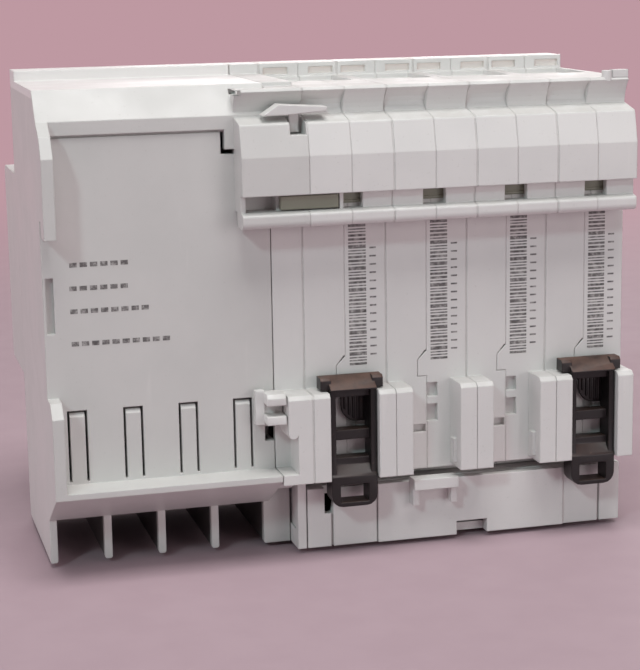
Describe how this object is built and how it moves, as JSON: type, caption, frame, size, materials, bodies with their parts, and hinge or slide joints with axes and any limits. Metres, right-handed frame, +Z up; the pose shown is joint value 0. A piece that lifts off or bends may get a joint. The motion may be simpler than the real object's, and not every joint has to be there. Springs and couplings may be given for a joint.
{
  "type": "modular circuit breaker",
  "caption": "Modular circuit breaker with a residual-current add-on, hooked rail profile, sliding rail clips, tied toggles and screw terminals.",
  "frame": {"origin": "middle of the rail seat: half way across the width, on the rail plane, on the centre line of the rail", "axes": "+Z up, the toggles face -Y, the rail lies along X behind the body, +Y points to the rail"},
  "size_m": [0.1258, 0.0801, 0.1012],
  "materials": {
    "pole_shell": "pale warm grey moulded plastic, fine satin",
    "addon_shell": "pale warm grey moulded plastic, fine satin",
    "toggle": "black moulded plastic",
    "clip": "black moulded plastic",
    "copper": "bare copper",
    "plated_steel": "zinc-plated steel",
    "core": "magnetic core",
    "khaki_plastic": "khaki moulded plastic",
    "control": "cream moulded plastic"
  },
  "bodies": {
    "casing": {"pole_1_left_shell": "pole_shell", "pole_1_right_shell": "pole_shell", "pole_2_left_shell": "pole_shell", "pole_2_right_shell": "pole_shell", "pole_3_left_shell": "pole_shell", "pole_3_right_shell": "pole_shell", "pole_4_left_shell": "pole_shell", "pole_4_right_shell": "pole_shell", "shell_rivets": "plated_steel", "fixed_contacts": "copper", "arc_chutes": "plated_steel", "trip_coils": "copper", "bimetal_strips": "plated_steel", "lower_cages": "plated_steel", "lower_screws": "plated_steel", "addon_housing": "addon_shell", "addon_front_cover": "addon_shell", "addon_coupling_plate": "addon_shell", "arm_tray": "addon_shell", "arm_cover": "addon_shell", "arm_lock_bracket": "addon_shell", "addon_conductors": "copper", "ring_core": "core", "ring_winding": "copper", "trip_relay": "khaki_plastic", "top_clip": "addon_shell"},
    "toggles": {"toggle_1": "toggle", "toggle_2": "toggle", "toggle_3": "toggle", "toggle_4": "toggle", "toggle_tie_bar": "toggle"},
    "contact_arms": {"contact_arm_1": "copper", "contact_arm_2": "copper", "contact_arm_3": "copper", "contact_arm_4": "copper"},
    "left_rail_clip": {"rail_clip_left": "clip"},
    "right_rail_clip": {"rail_clip_right": "clip"},
    "rail_latch": {"addon_rail_latch": "addon_shell"},
    "coupling": {"coupling_slide": "khaki_plastic"},
    "test": {"test_button": "control"},
    "reset": {"reset_lever": "control"},
    "upper_screw_1_turn": {"upper_screw_1": "plated_steel"},
    "upper_cage_1_lift": {"upper_cage_1": "plated_steel"},
    "outgoing_screw_1_turn": {"outgoing_screw_1": "plated_steel"},
    "outgoing_cage_1_lift": {"outgoing_cage_1": "plated_steel"},
    "upper_screw_2_turn": {"upper_screw_2": "plated_steel"},
    "upper_cage_2_lift": {"upper_cage_2": "plated_steel"},
    "outgoing_screw_2_turn": {"outgoing_screw_2": "plated_steel"},
    "outgoing_cage_2_lift": {"outgoing_cage_2": "plated_steel"},
    "upper_screw_3_turn": {"upper_screw_3": "plated_steel"},
    "upper_cage_3_lift": {"upper_cage_3": "plated_steel"},
    "outgoing_screw_3_turn": {"outgoing_screw_3": "plated_steel"},
    "outgoing_cage_3_lift": {"outgoing_cage_3": "plated_steel"},
    "upper_screw_4_turn": {"upper_screw_4": "plated_steel"},
    "upper_cage_4_lift": {"upper_cage_4": "plated_steel"},
    "outgoing_screw_4_turn": {"outgoing_screw_4": "plated_steel"},
    "outgoing_cage_4_lift": {"outgoing_cage_4": "plated_steel"}
  },
  "joints": [
    {"name": "toggle_swing", "type": "hinge", "parent": "casing", "child": "toggles", "pos_m": [0, -0.057, 0], "axis": [-1, 0, 0], "range_deg": [0, 76]},
    {"name": "contact_close", "type": "hinge", "parent": "casing", "child": "contact_arms", "pos_m": [0, -0.03465, 0.008], "axis": [1, 0, 0], "range_deg": [0, 25]},
    {"name": "left_clip_close", "type": "slide", "parent": "casing", "child": "left_rail_clip", "axis": [0, 0, 1], "range_m": [0, 0.0028]},
    {"name": "right_clip_close", "type": "slide", "parent": "casing", "child": "right_rail_clip", "axis": [0, 0, 1], "range_m": [0, 0.0028]},
    {"name": "latch_push", "type": "slide", "parent": "casing", "child": "rail_latch", "axis": [0, 0, 1], "range_m": [0, 0.003]},
    {"name": "coupling_shift", "type": "slide", "parent": "casing", "child": "coupling", "axis": [1, 0, 0], "range_m": [0, 0.0065]},
    {"name": "test_press", "type": "slide", "parent": "casing", "child": "test", "axis": [0, 1, 0], "range_m": [0, 0.0016], "stiffness_N_per_m": 500, "springref_m": -0.0005},
    {"name": "reset_swing", "type": "hinge", "parent": "casing", "child": "reset", "pos_m": [0.031, -0.057, 0], "axis": [-1, 0, 0], "range_deg": [0, 76]},
    {"name": "upper_screw_1_spin", "type": "hinge", "parent": "casing", "child": "upper_screw_1_turn", "pos_m": [-0.054, -0.0419, 0.032], "axis": [0, 1, 0], "range_deg": [0, 2251]},
    {"name": "upper_cage_1_slide", "type": "slide", "parent": "casing", "child": "upper_cage_1_lift", "axis": [0, -1, 0], "range_m": [0, 0.005]},
    {"name": "upper_screw_2_spin", "type": "hinge", "parent": "casing", "child": "upper_screw_2_turn", "pos_m": [-0.036, -0.0419, 0.032], "axis": [0, 1, 0], "range_deg": [0, 2251]},
    {"name": "upper_cage_2_slide", "type": "slide", "parent": "casing", "child": "upper_cage_2_lift", "axis": [0, -1, 0], "range_m": [0, 0.005]},
    {"name": "upper_screw_3_spin", "type": "hinge", "parent": "casing", "child": "upper_screw_3_turn", "pos_m": [-0.018, -0.0419, 0.032], "axis": [0, 1, 0], "range_deg": [0, 2251]},
    {"name": "upper_cage_3_slide", "type": "slide", "parent": "casing", "child": "upper_cage_3_lift", "axis": [0, -1, 0], "range_m": [0, 0.005]},
    {"name": "upper_screw_4_spin", "type": "hinge", "parent": "casing", "child": "upper_screw_4_turn", "pos_m": [0, -0.0419, 0.032], "axis": [0, 1, 0], "range_deg": [0, 2251]},
    {"name": "upper_cage_4_slide", "type": "slide", "parent": "casing", "child": "upper_cage_4_lift", "axis": [0, -1, 0], "range_m": [0, 0.005]},
    {"name": "outgoing_screw_1_spin", "type": "hinge", "parent": "casing", "child": "outgoing_screw_1_turn", "pos_m": [0.02196, -0.0419, -0.0389], "axis": [0, 1, 0], "range_deg": [0, 2251]},
    {"name": "outgoing_cage_1_slide", "type": "slide", "parent": "casing", "child": "outgoing_cage_1_lift", "axis": [0, -1, 0], "range_m": [0, 0.005]},
    {"name": "outgoing_screw_2_spin", "type": "hinge", "parent": "casing", "child": "outgoing_screw_2_turn", "pos_m": [0.03349, -0.0419, -0.0389], "axis": [0, 1, 0], "range_deg": [0, 2251]},
    {"name": "outgoing_cage_2_slide", "type": "slide", "parent": "casing", "child": "outgoing_cage_2_lift", "axis": [0, -1, 0], "range_m": [0, 0.005]},
    {"name": "outgoing_screw_3_spin", "type": "hinge", "parent": "casing", "child": "outgoing_screw_3_turn", "pos_m": [0.04501, -0.0419, -0.0389], "axis": [0, 1, 0], "range_deg": [0, 2251]},
    {"name": "outgoing_cage_3_slide", "type": "slide", "parent": "casing", "child": "outgoing_cage_3_lift", "axis": [0, -1, 0], "range_m": [0, 0.005]},
    {"name": "outgoing_screw_4_spin", "type": "hinge", "parent": "casing", "child": "outgoing_screw_4_turn", "pos_m": [0.05654, -0.0419, -0.0389], "axis": [0, 1, 0], "range_deg": [0, 2251]},
    {"name": "outgoing_cage_4_slide", "type": "slide", "parent": "casing", "child": "outgoing_cage_4_lift", "axis": [0, -1, 0], "range_m": [0, 0.005]}
  ],
  "couplings": [
    {"joint": "contact_close", "follows": "toggle_swing", "ratio": 0.32895},
    {"joint": "upper_screw_1_spin", "follows": "upper_cage_1_slide", "rad_per_m": 7854},
    {"joint": "upper_screw_2_spin", "follows": "upper_cage_2_slide", "rad_per_m": 7854},
    {"joint": "upper_screw_3_spin", "follows": "upper_cage_3_slide", "rad_per_m": 7854},
    {"joint": "upper_screw_4_spin", "follows": "upper_cage_4_slide", "rad_per_m": 7854},
    {"joint": "outgoing_screw_1_spin", "follows": "outgoing_cage_1_slide", "rad_per_m": 7854},
    {"joint": "outgoing_screw_2_spin", "follows": "outgoing_cage_2_slide", "rad_per_m": 7854},
    {"joint": "outgoing_screw_3_spin", "follows": "outgoing_cage_3_slide", "rad_per_m": 7854},
    {"joint": "outgoing_screw_4_spin", "follows": "outgoing_cage_4_slide", "rad_per_m": 7854}
  ]
}
